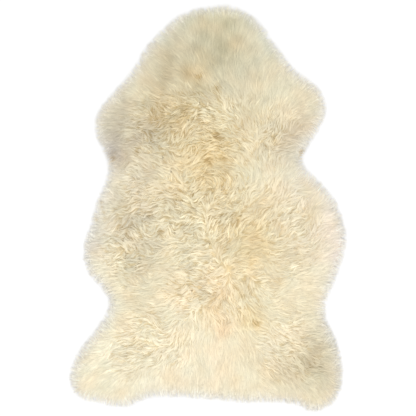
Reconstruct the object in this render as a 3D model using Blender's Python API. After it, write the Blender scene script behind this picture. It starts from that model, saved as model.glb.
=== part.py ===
"""A sheepskin rug: one whole pelt, tanned with its wool on, lying flat with the wool up.

Units are metres, +Z is up. The origin is on the floor under the middle of the pelt. +Y runs
along the back to the neck, and +X to the right of the pelt as it is seen from above.

The pelt is one closed body. Its flat underside is the hide's flesh side, with the cut edge
of the hide as a low step. Round it the wool spills over the edge, down to the floor. Rings
of faces, all of the same pelt outline drawn in towards the back, rise over the rounded rim
to a top of rolling tufts. Tapered locks stand out all round the rim, their tips on the floor.
"""

import math
import random

import bmesh
import bpy
import numpy as np
from mathutils import Vector

MM = 0.001

# ---------------------------------------------------------------- driving dimensions

PELT_LENGTH = 1.000         # neck to hind legs, over the tips of the wool
PELT_WIDTH = 0.680          # across the widest part of the belly and the hind legs
WOOL_HEIGHT = 0.045         # the pile as it lies, above the floor
HIDE_THICKNESS = 0.002      # tanned skin, under the wool

# ---------------------------------------------------------------- the pelt's outline, in mm

# The neck end, from the left to the right: x, y.
NECK_END = [
    (-97, 454), (-50, 484), (3, 496), (56, 498), (110, 474),
]

# Down both sides of the pelt, from the neck to the hind legs: where, y, left x, right x.
SIDES = [
    ("neck", 401, -148, 170),
    ("throat", 345, -183, 212),
    ("shoulder", 290, -228, 277),
    ("foreleg", 240, -268, 289),
    ("elbow", 195, -276, 271),
    ("armpit", 150, -259, 243),
    ("waist", 112, -245, 234),
    ("ribs", 70, -250, 272),
    ("side", 20, -271, 313),
    ("belly", -40, -288, 336),
    ("low belly", -100, -305, 338),
    ("flank", -155, -294, 319),
    ("flank fold", -200, -256, 302),
    ("groin", -235, -242, 290),
    ("thigh", -280, -263, 296),
    ("hind leg", -325, -297, 317),
    ("hock", -375, -329, 329),
    ("heel", -425, -338, 330),
]

# The tail end, from the right to the left: x, y.
TAIL_END = [
    (322, -457), (272, -495), (208, -478), (80, -474), (-44, -463),
    (-141, -462), (-205, -484), (-263, -476), (-320, -459),
]

CURVE_STEPS = 12            # straight steps between two points of the outline curve

# ---------------------------------------------------------------- the wool's form

COLUMNS = 264               # faces round the rim, each with one lock
LOCK_LENGTH = 0.018         # from the body of the wool out to the tips of the locks
BACK_SHARE = 0.40           # length of the line that the rings close on, over the pelt's
HIDE_REACH = 0.930          # the cut edge of the hide, the rim being at 1 and the back at 0

# Rings of the wool's body, outside to inside: reach, height as a share of WOOL_HEIGHT.
RIM_RINGS = [
    (1.000, 0.24), (0.995, 0.46), (0.978, 0.66),
]
ROUNDED_RINGS = [
    (0.945, 0.82), (0.900, 0.91), (0.850, 0.95), (0.790, 0.97), (0.730, 0.98),
    (0.670, 0.99), (0.610, 1.00), (0.550, 1.00),
]
BACK_RINGS = [
    (0.485, 1.00), (0.420, 1.00), (0.355, 1.00), (0.290, 1.00), (0.225, 1.00),
    (0.165, 1.00),
]

TUFT_PITCH = 0.060          # from one tuft of the pile to the next
TUFT_SHIFT = 0.30           # how far a tuft sits off its place, as a share of the pitch
TUFT_LENGTH = 0.048         # half length of a tuft, along the lie of the wool
TUFT_WIDTH = 0.033          # half width of a tuft
TUFT_RISE = 0.014           # a full tuft's height over the hollows between tufts
TUFT_LEAST = 0.5            # the smallest tuft's height, as a share of a full one's
TUFT_SEED = 7

WHORL_Y = 0.35              # the place on the back that all the wool lies away from
SIDEWAYS = 1.6              # how much more the wool lies to the sides than to the ends

# A lock's sections, root to tip: share of its length, share of its width, bottom z, top z.
LOW_LOCK = [
    (0.60, 0.80, 0.0, 8.0 * MM), (1.00, 0.40, 0.0, 2.5 * MM),
]
HIGH_LOCK = [
    (0.60, 0.80, 8.6 * MM, 16.5 * MM), (1.00, 0.40, 0.0, 2.8 * MM),
]
LOCK_SPREAD = (0.65, 1.05)  # shortest and longest lock, over LOCK_LENGTH
LOCK_SWAY = 0.35            # most that a lock leans to one side, over its length
SWAY_WAVES = 9              # changes of lean on the way round the pelt
LOCK_SEED = 11

WOOL_COLOUR = (0.80, 0.71, 0.53)
WOOL_ROUGHNESS = 0.95
CREASE_ANGLE = math.radians(50)


# ---------------------------------------------------------------- plain helpers

def clear_objects():
    for thing in list(bpy.data.objects):
        bpy.data.objects.remove(thing, do_unlink=True)


def make_collection(name):
    group = bpy.data.collections.new(name)
    bpy.context.scene.collection.children.link(group)
    return group


def make_material(name, colour, roughness, metallic):
    material = bpy.data.materials.new(name)
    material.use_nodes = True
    shader = material.node_tree.nodes["Principled BSDF"]
    shader.inputs["Base Color"].default_value = (*colour, 1.0)
    shader.inputs["Roughness"].default_value = roughness
    shader.inputs["Metallic"].default_value = metallic
    material.diffuse_color = (*colour, 1.0)
    return material


# ---------------------------------------------------------------- the outline

def outline_points():
    """The outline's own points in order, from the neck down the right side and round."""
    right = [(x, y) for where, y, _, x in SIDES]
    left = [(x, y) for where, y, x, _ in reversed(SIDES)]
    return NECK_END + right + TAIL_END + left


def outline_curve(group):
    """A closed smooth curve through the outline's points, as a guide."""
    curve = bpy.data.curves.new("pelt_outline", "CURVE")
    curve.dimensions = "2D"
    curve.fill_mode = "NONE"
    curve.resolution_u = CURVE_STEPS
    spline = curve.splines.new("BEZIER")
    points = outline_points()
    spline.bezier_points.add(len(points) - 1)
    for knot, (x, y) in zip(spline.bezier_points, points):
        knot.co = (x * MM, y * MM, 0.0)
        knot.handle_left_type = "AUTO"
        knot.handle_right_type = "AUTO"
    spline.use_cyclic_u = True
    guide = bpy.data.objects.new("pelt_outline", curve)
    guide.hide_render = True
    guide.display_type = "WIRE"
    group.objects.link(guide)
    return guide


def walk_outline(guide):
    """Evenly spaced places along the guide curve, fitted to the pelt's length and width."""
    depsgraph = bpy.context.evaluated_depsgraph_get()
    mesh = bpy.data.meshes.new_from_object(guide.evaluated_get(depsgraph))
    path = np.array([vertex.co.xy[:] for vertex in mesh.vertices])
    bpy.data.meshes.remove(mesh)
    low, high = path.min(axis=0), path.max(axis=0)
    path = (path - (low + high) / 2) * (np.array([PELT_WIDTH, PELT_LENGTH]) / (high - low))
    closed = np.vstack([path, path[:1]])
    run = np.concatenate([[0.0], np.cumsum(np.linalg.norm(np.diff(closed, axis=0), axis=1))])
    stops = np.linspace(0.0, run[-1], COLUMNS, endpoint=False)
    return np.column_stack([np.interp(stops, run, closed[:, axis]) for axis in (0, 1)])


def set_back(outline, distance):
    """The outline moved inwards by one distance all round. It runs clockwise from above."""
    along = np.roll(outline, -1, axis=0) - np.roll(outline, 1, axis=0)
    along /= np.linalg.norm(along, axis=1, keepdims=True)
    outward = np.column_stack([-along[:, 1], along[:, 0]])
    return outline - outward * distance


def drawn_in(rim, reach):
    """The rim drawn in towards the line of the back: 1 leaves it, 0 is the line itself."""
    return rim * np.array([reach, BACK_SHARE + (1.0 - BACK_SHARE) * reach])


# ---------------------------------------------------------------- the rolling pile

def lie_of_wool(x, y):
    """The way the wool lies: outwards from the back, and down towards the tail."""
    flow = Vector((SIDEWAYS * x, y - WHORL_Y))
    return flow.normalized() if flow.length > TUFT_WIDTH else Vector((0.0, -1.0))


def plant_tufts():
    """Tufts on a staggered grid over the pelt, each a little off its place: x, y, rise."""
    dice = random.Random(TUFT_SEED)
    row_pitch = TUFT_PITCH * math.sqrt(3) / 2
    rows = math.ceil(PELT_LENGTH / row_pitch)
    in_row = math.ceil(PELT_WIDTH / TUFT_PITCH)
    tufts = []
    for row in range(rows + 1):
        y = row * row_pitch - PELT_LENGTH / 2
        for place in range(in_row + 1):
            x = (place + 0.5 * (row % 2)) * TUFT_PITCH - PELT_WIDTH / 2
            shift_x = dice.uniform(-TUFT_SHIFT, TUFT_SHIFT) * TUFT_PITCH
            shift_y = dice.uniform(-TUFT_SHIFT, TUFT_SHIFT) * TUFT_PITCH
            rise = dice.uniform(TUFT_LEAST, 1.0) * TUFT_RISE
            tufts.append((x + shift_x, y + shift_y, rise))
    return tufts


def pile_rise(tufts, x, y):
    """How far the tufts lift the pile at one place, from the hollows between them."""
    most = 0.0
    for tuft_x, tuft_y, rise in tufts:
        away = Vector((x - tuft_x, y - tuft_y))
        if away.length > TUFT_LENGTH:
            continue
        lie = lie_of_wool(tuft_x, tuft_y)
        along = away.dot(lie) / TUFT_LENGTH
        across = away.cross(lie) / TUFT_WIDTH
        swell = 1.0 - along ** 2 - across ** 2
        most = max(most, rise * math.sqrt(max(swell, 0.0)))
    return most


# ---------------------------------------------------------------- the body of the pelt

def start_loop(bm, places, z):
    """A closed loop of vertices and edges at one height."""
    loop = [bm.verts.new((x, y, z)) for x, y in places]
    for i, vertex in enumerate(loop):
        bm.edges.new((loop[i - 1], vertex))
    return loop


def extrude_loop(bm, loop, places):
    """A band of faces from a closed loop to new places, and the loop at its far side."""
    edges = [bm.edges.get((loop[i - 1], loop[i])) for i in range(len(loop))]
    made = bmesh.ops.extrude_edge_only(bm, edges=edges)["geom"]
    fresh = {item for item in made if isinstance(item, bmesh.types.BMVert)}
    far = []
    for vertex, place in zip(loop, places):
        ends = [edge.other_vert(vertex) for edge in vertex.link_edges]
        partner = next(end for end in ends if end in fresh)
        partner.co = place
        far.append(partner)
    return far


def halve_loop(bm, loop):
    """Every second vertex welded to the one before it, where the rings get short."""
    bmesh.ops.weld_verts(bm, targetmap=dict(zip(loop[1::2], loop[0::2])))
    return loop[0::2]


def ring_places(rim, reach, share, tufts):
    """A ring of the wool's body, lifted where it crosses a tuft."""
    places = []
    for x, y in drawn_in(rim, reach):
        z = share * (WOOL_HEIGHT - TUFT_RISE + pile_rise(tufts, x, y))
        places.append(Vector((x, y, z)))
    return places


def flat_places(rim, reach, z):
    return [Vector((x, y, z)) for x, y in drawn_in(rim, reach)]


def build_body(bm, rim):
    """The wool's wall, top and underside. Returns the wall's loops, low to high."""
    tufts = plant_tufts()
    wall = [start_loop(bm, rim, 0.0)]
    for reach, share in RIM_RINGS:
        wall.append(extrude_loop(bm, wall[-1], flat_places(rim, reach, share * WOOL_HEIGHT)))
    loop, columns = wall[-1], rim
    for rings in (ROUNDED_RINGS, BACK_RINGS):
        for turn, (reach, share) in enumerate(rings):
            loop = extrude_loop(bm, loop, ring_places(columns, reach, share, tufts))
            if turn == 0:
                loop, columns = halve_loop(bm, loop), columns[0::2]
    bmesh.ops.contextual_create(bm, geom=loop)

    under = extrude_loop(bm, wall[0], flat_places(rim, HIDE_REACH, HIDE_THICKNESS))
    under = halve_loop(bm, under)
    flesh = extrude_loop(bm, under, flat_places(rim[0::2], HIDE_REACH, 0.0))
    bmesh.ops.contextual_create(bm, geom=flesh)
    return wall


# ---------------------------------------------------------------- the locks at the rim

def grow_lock(bm, face, root, run, across, sections):
    """One lock drawn out of a face of the rim, narrower and lower at each section."""
    span = max((vertex.co.xy - root).dot(across) for vertex in face.verts)
    centre, middle = root, face.calc_center_median().z
    for share, width, bottom, top in sections:
        ahead = root + run * share
        face = bmesh.ops.extrude_discrete_faces(bm, faces=[face])["faces"][0]
        for vertex in face.verts:
            side = math.copysign(span * width, (vertex.co.xy - centre).dot(across))
            flat = ahead + across * side
            level = top if vertex.co.z > middle else bottom
            vertex.co = (flat.x, flat.y, level)
        centre, middle = ahead, (bottom + top) / 2


def build_locks(bm, outline, rim, wall):
    """A lock from every column out to the outline, low ones and high ones by turns."""
    dice = random.Random(LOCK_SEED)
    for i in range(COLUMNS):
        after = (i + 1) % COLUMNS
        tier = i % 2
        low, high = wall[tier], wall[tier + 1]
        corners = {low[i], low[after], high[i], high[after]}
        face = next(f for f in low[i].link_faces if set(f.verts) == corners)
        root = Vector((rim[i] + rim[after]) / 2)
        tip = Vector((outline[i] + outline[after]) / 2)
        across = Vector(rim[after] - rim[i]).normalized()
        lean = LOCK_SWAY * math.sin(SWAY_WAVES * 2 * math.pi * i / COLUMNS)
        run = (tip - root + across * (lean * LOCK_LENGTH)) * dice.uniform(*LOCK_SPREAD)
        grow_lock(bm, face, root, run, across, (LOW_LOCK, HIGH_LOCK)[tier])


# ---------------------------------------------------------------- the pelt

def build_sheepskin(parts, guides):
    guide = outline_curve(guides)
    outline = walk_outline(guide)
    rim = set_back(outline, LOCK_LENGTH)
    bm = bmesh.new()
    wall = build_body(bm, rim)
    build_locks(bm, outline, rim, wall)
    bmesh.ops.triangulate(bm, faces=bm.faces, quad_method="BEAUTY")
    bmesh.ops.recalc_face_normals(bm, faces=bm.faces)
    mesh = bpy.data.meshes.new("sheepskin")
    bm.to_mesh(mesh)
    bm.free()
    mesh.shade_smooth()
    mesh.set_sharp_from_angle(angle=CREASE_ANGLE)
    mesh.materials.append(make_material("ivory_wool", WOOL_COLOUR, WOOL_ROUGHNESS, 0.0))
    sheepskin = bpy.data.objects.new("sheepskin", mesh)
    parts.objects.link(sheepskin)
    print("sheepskin:", len(mesh.polygons), "faces")
    return sheepskin


def main():
    clear_objects()
    parts = make_collection("sheepskin_rug")
    guides = make_collection("guides")
    build_sheepskin(parts, guides)


main()
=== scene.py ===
# %% [markdown]
# # A sheepskin rug
#
# The rug is one whole pelt: a thin tanned hide with its long wool still on it, lying wool
# side up on a pale floor. This lesson dresses the imported solid of the pelt. The solid gives
# the true size and the place. Here it gets a suede hide, a dense layer of under-wool, and
# thousands of wavy locks that are combed the way the wool lies on a real pelt.
#
# We start by loading the frame and keeping its box, whose top sets the height of the pile.

import math
import random

import bmesh
import bpy
import numpy as np
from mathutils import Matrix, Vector, kdtree, noise
from mathutils.bvhtree import BVHTree


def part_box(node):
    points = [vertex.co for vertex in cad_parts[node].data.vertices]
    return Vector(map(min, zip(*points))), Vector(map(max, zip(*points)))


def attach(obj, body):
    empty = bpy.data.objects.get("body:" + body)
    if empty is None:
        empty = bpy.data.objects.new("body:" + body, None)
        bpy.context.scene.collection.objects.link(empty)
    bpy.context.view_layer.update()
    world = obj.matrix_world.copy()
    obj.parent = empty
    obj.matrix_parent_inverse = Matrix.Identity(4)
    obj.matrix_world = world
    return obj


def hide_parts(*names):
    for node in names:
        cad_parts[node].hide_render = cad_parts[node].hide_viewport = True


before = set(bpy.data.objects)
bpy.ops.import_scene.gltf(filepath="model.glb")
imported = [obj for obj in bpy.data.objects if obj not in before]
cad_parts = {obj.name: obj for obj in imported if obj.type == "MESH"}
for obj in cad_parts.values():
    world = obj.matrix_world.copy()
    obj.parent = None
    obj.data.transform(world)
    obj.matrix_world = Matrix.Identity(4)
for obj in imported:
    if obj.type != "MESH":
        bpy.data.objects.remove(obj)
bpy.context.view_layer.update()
pelt_low, pelt_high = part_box("sheepskin")
print("pelt:", [round(v, 3) for v in pelt_low], [round(v, 3) for v in pelt_high])

MM = 0.001

# %% [markdown]
# ## The outline of the pelt
#
# A pelt keeps the outline of the animal: the neck at the top, the forelegs, the waist, the
# belly and the hind legs. A few named landmarks are enough, with a smooth curve through
# them. Everything else on the rug is placed from this one line: the cut edge of the hide,
# the height of the wool near its rim, and the direction of the locks that hang over it.

# %% Landmarks, in millimetres
NECK_END = [
    (-97, 454), (-50, 484), (3, 496), (56, 498), (110, 474),
]
SIDES = [  # where, y, left x, right x
    ("neck", 401, -148, 170),
    ("throat", 345, -183, 212),
    ("shoulder", 290, -228, 277),
    ("foreleg", 240, -268, 289),
    ("elbow", 195, -276, 271),
    ("armpit", 150, -259, 243),
    ("waist", 112, -245, 234),
    ("ribs", 70, -250, 272),
    ("side", 20, -271, 313),
    ("belly", -40, -288, 336),
    ("low belly", -100, -305, 338),
    ("flank", -155, -294, 319),
    ("flank fold", -200, -256, 302),
    ("groin", -235, -242, 290),
    ("thigh", -280, -263, 296),
    ("hind leg", -325, -297, 317),
    ("hock", -375, -329, 329),
    ("heel", -425, -338, 330),
]
TAIL_END = [
    (322, -457), (272, -495), (208, -478), (80, -474), (-44, -463),
    (-141, -462), (-205, -484), (-263, -476), (-320, -459),
]
PELT_LENGTH = 1.000
PELT_WIDTH = 0.680
OUTLINE_STEPS = 528         # straight steps round the outline
print("landmarks:", len(NECK_END) + 2 * len(SIDES) + len(TAIL_END))


# %% A smooth curve through the landmarks
def add_object(name, data):
    """A new object in the scene."""
    thing = bpy.data.objects.new(name, data)
    bpy.context.scene.collection.objects.link(thing)
    return thing


def finished_mesh(thing):
    """A mesh of an object as it looks with its curves and modifiers worked out."""
    depsgraph = bpy.context.evaluated_depsgraph_get()
    return bpy.data.meshes.new_from_object(thing.evaluated_get(depsgraph))


def outline_path():
    """Evenly spaced points along a closed Bezier curve through the landmarks, clockwise."""
    right = [(x, y) for _, y, _, x in SIDES]
    left = [(x, y) for _, y, x, _ in reversed(SIDES)]
    points = NECK_END + right + TAIL_END + left
    curve = bpy.data.curves.new("outline", "CURVE")
    curve.dimensions = "2D"
    curve.fill_mode = "NONE"
    spline = curve.splines.new("BEZIER")
    spline.bezier_points.add(len(points) - 1)
    for knot, (x, y) in zip(spline.bezier_points, points):
        knot.co = (x * MM, y * MM, 0.0)
        knot.handle_left_type = "AUTO"
        knot.handle_right_type = "AUTO"
    spline.use_cyclic_u = True
    guide = add_object("outline", curve)
    mesh = finished_mesh(guide)
    path = np.array([vertex.co.xy[:] for vertex in mesh.vertices])
    bpy.data.meshes.remove(mesh)
    bpy.data.objects.remove(guide)
    low, high = path.min(axis=0), path.max(axis=0)
    path = (path - (low + high) / 2) * (np.array([PELT_WIDTH, PELT_LENGTH]) / (high - low))
    closed = np.vstack([path, path[:1]])
    run = np.concatenate([[0.0], np.cumsum(np.linalg.norm(np.diff(closed, axis=0), axis=1))])
    stops = np.linspace(0.0, run[-1], OUTLINE_STEPS, endpoint=False)
    return np.column_stack([np.interp(stops, run, closed[:, axis]) for axis in (0, 1)])


outline = outline_path()
along_edge = np.roll(outline, -1, axis=0) - np.roll(outline, 1, axis=0)
along_edge /= np.linalg.norm(along_edge, axis=1, keepdims=True)
outward = np.column_stack([-along_edge[:, 1], along_edge[:, 0]])
edge_length = np.linalg.norm(np.diff(outline, axis=0, append=outline[:1]), axis=1).sum()
print("outline:", len(outline), "points,", round(edge_length, 2), "m round")

# %% [markdown]
# From here on, thousands of places on the pelt are handled at once, as arrays of x and y.
# We ask three things of a place again and again: how far inside the outline it is, how near
# it is to the middle of some zone, and what a soft noise says there. Real wool is never
# even, and a noise that is the same on every run gives it chance that can be repeated.

# %% Questions to ask of a place
BATCH = 4000                # places looked at together, to spare memory


def inside_by(places):
    """For each place: its distance inside the outline, negative outside, and the nearest step."""
    flat = places.reshape(-1, 2)
    nearest = np.empty(len(flat), int)
    for start in range(0, len(flat), BATCH):
        gaps = flat[start:start + BATCH, None, :] - outline[None, :, :]
        nearest[start:start + BATCH] = (gaps ** 2).sum(axis=2).argmin(axis=1)
    depth = -((flat - outline[nearest]) * outward[nearest]).sum(axis=1)
    return depth.reshape(places.shape[:-1]), nearest.reshape(places.shape[:-1])


def mound(places, x, y, half_x, half_y, fall=1.2, power=1.0):
    """1 in the middle of an oval that is given in millimetres, falling softly to 0 round it."""
    away = ((places - np.array([x, y]) * MM) / (np.array([half_x, half_y]) * MM)) ** 2
    return np.exp(-fall * away.sum(axis=-1) ** power)


def soft_noise(places, size, level=0.0):
    """Smooth noise from -1 to 1 at flat places, with a level that picks another pattern."""
    values = [noise.noise(Vector((x, y, level)) / size) for x, y in places.reshape(-1, 2)]
    return np.array(values).reshape(places.shape[:-1])


def between(pair, share):
    """From the first value of a pair to the second, as the share goes from 0 to 1."""
    return pair[0] + (pair[1] - pair[0]) * share


middle = np.zeros((1, 2))
print("middle of the pelt:", round(float(inside_by(middle)[0][0]), 3), "m inside")

# %% [markdown]
# ## A map of the fleece
#
# The wool isn't the same everywhere. On the neck, at the tail and along the rim it lies
# smooth. On the shoulders, the back and the flanks it stands in curly tufts, with partings
# where one sees down to the straw-coloured wool near the skin, darkened there by painted
# shade. The comb strokes say which way the tips point. All three are kept as short tables,
# and are laid out on a grid once, so that thousands of strands can read them quickly.

# %% Where the wool is curly, where it parts, and which way it lies
CURLY = [  # name, x, y, half width, half height (mm), how curly
    ("shoulders", -50, 190, 240, 130, 1.0),
    ("right shoulder", 185, 165, 130, 110, 0.85),
    ("nape", -40, 330, 170, 80, 0.35),
    ("back", -20, 0, 190, 190, 1.0),
    ("left flank", -205, -30, 140, 230, 1.0),
    ("right flank", 200, -40, 150, 190, 0.75),
    ("loin", 20, -190, 190, 140, 0.9),
    ("left thigh", -165, -325, 165, 125, 0.8),
    ("right thigh", 225, -345, 150, 140, 0.78),
]
PARTINGS = [  # x, y, radius (mm), depth
    (-79, 391, 11, 0.5), (-111, 320, 14, 0.5), (-22, 322, 15, 0.9), (22, 293, 20, 0.9),
    (-131, 236, 16, 0.9), (-168, 206, 12, 0.6), (-55, 238, 17, 0.9), (22, 176, 20, 1.0),
    (121, 211, 14, 0.7), (160, 174, 18, 0.9), (-232, 137, 16, 0.6), (2, 117, 20, 1.0),
    (-4, 85, 17, 1.0), (96, 112, 14, 0.7), (143, 50, 16, 0.7), (96, 41, 12, 0.6),
    (-136, 28, 18, 0.6), (-35, -9, 18, 0.8), (-145, -20, 16, 0.9), (-118, -60, 18, 0.9),
    (72, -31, 20, 0.8), (128, -20, 14, 0.6), (110, -40, 14, 0.6), (88, -55, 14, 0.7),
    (-202, -191, 12, 0.5), (123, -184, 16, 0.7), (175, -174, 15, 0.7), (72, -246, 14, 0.6),
    (116, -280, 20, 1.0), (-165, -280, 14, 0.5), (-111, -293, 14, 0.5), (-225, -317, 12, 0.4),
    (-81, -327, 12, 0.5), (-148, -357, 12, 0.4), (-86, -381, 12, 0.4), (-173, 138, 16, 1.0),
    (29, 150, 15, 0.9), (36, 124, 16, 0.9), (-158, 250, 13, 0.6), (-35, 280, 13, 0.6),
]
FOLDS = [  # folds near the rim, with painted shade in them: x, y, radius (mm), depth
    (-233, 123, 14, 1.0), (-228, 112, 9, 0.7), (231, 138, 12, 1.0), (227, 127, 8, 0.8),
    (-262, 14, 7, 1.0), (-260, 2, 7, 1.0), (-257, -10, 7, 1.0), (-254, -22, 7, 0.9),
    (-252, -33, 7, 0.7), (-276, -27, 10, 0.7),
]
STROKES = [  # x, y (mm), the way that the tips point (degrees from +X)
    (42, 465, 90), (-119, 379, 140), (153, 367, 60), (17, 342, 95), (148, 305, 92),
    (252, 255, 30), (-230, 218, 185), (-155, 231, 170), (-27, 285, 135), (67, 256, 110),
    (128, 223, 75), (-52, 194, 215), (54, 157, 175), (222, 125, 20), (-217, 120, 178),
    (-106, 115, 150), (-49, 127, 215), (109, 88, 125), (178, 75, 70), (104, 9, 20),
    (-168, -4, 215), (-143, -41, 150), (-279, -65, 182), (-81, -78, 200), (81, -41, 45),
    (185, -16, 70), (227, -16, 50), (289, -78, 35), (165, -115, 350), (-44, -201, 175),
    (-106, -226, 175), (-230, -238, 180), (79, -263, 300), (227, -238, 5), (276, -275, 355),
    (-7, -300, 268), (-168, -349, 190), (165, -349, 325), (-279, -386, 225), (30, -399, 272),
    (-106, -436, 265), (264, -423, 325),
]
print("fleece:", len(CURLY), "curly areas,", len(PARTINGS), "partings,", len(FOLDS), "folds,",
      len(STROKES), "strokes")

# %% [markdown]
# Curly wool gathers in tufts, each with locks that lean in towards its tip, and a crease
# round it. We plant the middles of the tufts at about even spaces. A place belongs to the
# tuft whose middle is nearest, and lies in a crease where two middles are equally near.

# %% Tufts
TUFT_PITCH = 0.029          # from one tuft of locks to the next
TUFT_SHIFT = 0.38           # how far a tuft may be off its place, over the pitch
TUFT_BLEND = 0.4            # how far two tufts run into each other, over the pitch
TUFT_TURN = 52              # degrees that a tuft is turned from the lie of the wool,
TURN_SPREAD = 0.6           # times chance with this spread
TUFT_SEED = 21
FIELD_LOW = (-0.40, -0.55)  # where the first tuft is planted
FIELD_SIZE = (0.8, 1.1)
CREASE_WIDTH = 0.0065       # of the gap between two tufts


def plant_tufts():
    """The centres of the tufts, how far each is turned, and its tone."""
    dice = random.Random(TUFT_SEED)
    columns, rows = (int(size / TUFT_PITCH) for size in FIELD_SIZE)
    tufts = []
    for row in range(rows):
        for column in range(columns):
            x = column + 0.5 * (row % 2) + dice.uniform(-TUFT_SHIFT, TUFT_SHIFT)
            y = row + dice.uniform(-TUFT_SHIFT, TUFT_SHIFT)
            turn = math.radians(TUFT_TURN) * dice.gauss(0.0, TURN_SPREAD)
            tufts.append((FIELD_LOW[0] + x * TUFT_PITCH, FIELD_LOW[1] + y * TUFT_PITCH,
                          turn, dice.random()))
    return tufts


def tufting(places):
    """For each place its tuft's turn, tone and centre, and 1 in a crease between tufts."""
    tree = kdtree.KDTree(len(tufts))
    for index, (x, y, _, _) in enumerate(tufts):
        tree.insert((x, y, 0.0), index)
    tree.balance()
    own = np.array(tufts)
    blend, crease = np.empty((len(places), 4)), np.empty(len(places))
    for row, (x, y) in enumerate(places):
        near = tree.find_n((x, y, 0.0), 3)
        gaps = np.array([gap for _, _, gap in near])
        weight = np.exp((gaps[0] ** 2 - gaps ** 2) / (TUFT_BLEND * TUFT_PITCH) ** 2)
        blend[row] = (weight @ own[[index for _, index, _ in near]]) / weight.sum()
        crease[row] = math.exp(-((gaps[1] - gaps[0]) / CREASE_WIDTH) ** 2)
    return blend[:, 2], blend[:, 3], blend[:, :2], crease


tufts = plant_tufts()
print("tufts:", len(tufts))

# %% [markdown]
# Now the tables and the tufts are laid out on the grid. Each stroke counts most close by,
# and near the rim all wool turns outwards. The tufts then turn the lie of the curly wool,
# and leave the smooth wool as it is.

# %% The lie of the wool
STROKE_REACH = 0.055        # how far a stroke is felt
STROKE_LEAST = 1e-9         # what it still counts beyond that
RIM_BAND = 0.030            # how far in the wool lies straight outwards


def stroke_flow(places, depth, nearest):
    """The lie of the wool, from the comb strokes and the rim."""
    strokes = np.array(STROKES, float)
    turns = np.radians(strokes[:, 2])
    gaps = ((places[:, None, :] - strokes[None, :, :2] * MM) ** 2).sum(axis=2)
    weight = np.exp(-gaps / STROKE_REACH ** 2) + STROKE_LEAST
    flow = np.column_stack([weight @ np.cos(turns), weight @ np.sin(turns)])
    flow /= np.linalg.norm(flow, axis=1, keepdims=True) + STROKE_LEAST
    edge = np.exp(-np.clip(depth, 0.0, None) / RIM_BAND)[:, None]
    return flow * (1.0 - edge) + outward[nearest] * edge


print("lie midway:", stroke_flow(middle, *inside_by(middle))[0].round(2))

# %% The map on a grid
CURL_START = 0.012          # how far in the wool begins to curl,
CURL_BAND = 0.025           # and over what width it does
CURL_POWER = 1.5            # a curly area is even in its middle and ends rather sharply
PARTING_SHARE = 0.7         # a parting's middle, where it dips and is painted with shade, over its radius
TUFT_PINCH = 20             # degrees that a tuft's outer locks lean in towards its tip
TUFT_TONES = (0.15, 1.15)   # how much the tufts differ in tone, smooth and curly: partly their own tone, partly painted shade of each tuft's shape
CREASE_DEPTH = 0.55         # of the creases between tufts,
CREASE_SWING = 0.60         # more or less in places,
CREASE_SIZE = 0.06          # this far from each other
GRID_PITCH = 0.004
GRID_LOW = np.array([-0.38, -0.54])
GRID_SIZE = (191, 271)
CURL, PARTING, TUFT_TONE = 2, 3, 4      # columns of the map, after the lie's x and y


def lay_out_map():
    """The lie, the curl, the partings and the tufts' tone on a grid over the pelt."""
    xs, ys = (GRID_LOW[axis] + GRID_PITCH * np.arange(GRID_SIZE[axis]) for axis in (0, 1))
    places = np.stack(np.meshgrid(xs, ys, indexing="ij"), axis=2).reshape(-1, 2)
    depth, nearest = inside_by(places)
    flow = stroke_flow(places, depth, nearest)
    curl = np.zeros(len(places))
    for _, x, y, half_x, half_y, amount in CURLY:
        curl = np.maximum(curl, amount * mound(places, x, y, half_x, half_y, power=CURL_POWER))
    curl *= 1.0 - np.exp(-np.clip(depth - CURL_START, 0.0, None) / CURL_BAND)
    parting = np.zeros(len(places))
    for x, y, radius, amount in PARTINGS + FOLDS:
        dark = PARTING_SHARE * radius
        parting = np.maximum(parting, amount * mound(places, x, y, dark, dark, fall=1.0))
    turn, tone, centre, crease = tufting(places)
    aside = (places - centre)[:, 1] * flow[:, 0] - (places - centre)[:, 0] * flow[:, 1]
    pinch = np.clip(aside / (TUFT_PITCH / 2), -1.0, 1.0) * math.radians(TUFT_PINCH)
    turn = (turn - pinch) * curl
    flow = np.column_stack([flow[:, 0] * np.cos(turn) - flow[:, 1] * np.sin(turn),
                            flow[:, 0] * np.sin(turn) + flow[:, 1] * np.cos(turn)])
    uneven = CREASE_DEPTH + CREASE_SWING * soft_noise(places, CREASE_SIZE, level=5.0)
    parting = np.maximum(parting, np.clip(uneven, 0.0, 1.0) * crease * curl)
    tone = 0.5 + (tone - 0.5) * between(TUFT_TONES, curl)
    return np.column_stack([flow, curl, parting, tone]).reshape(*GRID_SIZE, 5)


fleece_map = lay_out_map()
print("fleece map:", fleece_map.shape)


# %% Read the map
def read_map(places):
    """The map's five columns at each place, blended between the points of the grid."""
    spot = (places - GRID_LOW) / GRID_PITCH
    spot = np.clip(spot, 0.0, np.array(GRID_SIZE) - 1.001)
    low = spot.astype(int)
    part = (spot - low)[..., None]
    i, j = low[..., 0], low[..., 1]
    first = fleece_map[i, j] * (1 - part[..., 1, :]) + fleece_map[i, j + 1] * part[..., 1, :]
    second = (fleece_map[i + 1, j] * (1 - part[..., 1, :])
              + fleece_map[i + 1, j + 1] * part[..., 1, :])
    return first * (1 - part[..., 0, :]) + second * part[..., 0, :]


print("curl midway:", round(float(read_map(middle)[0, CURL]), 2),
      "and at most:", round(float(fleece_map[..., CURL].max()), 2))

# %% [markdown]
# ## The height of the pile
#
# Long wool stands about 45 mm high over the body of the pelt. Towards the rim there is no
# neighbour to lean on, so it falls over and comes down to the floor. One formula gives the
# height from the distance to the outline. A soft noise makes it roll, as on a real fleece.

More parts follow.
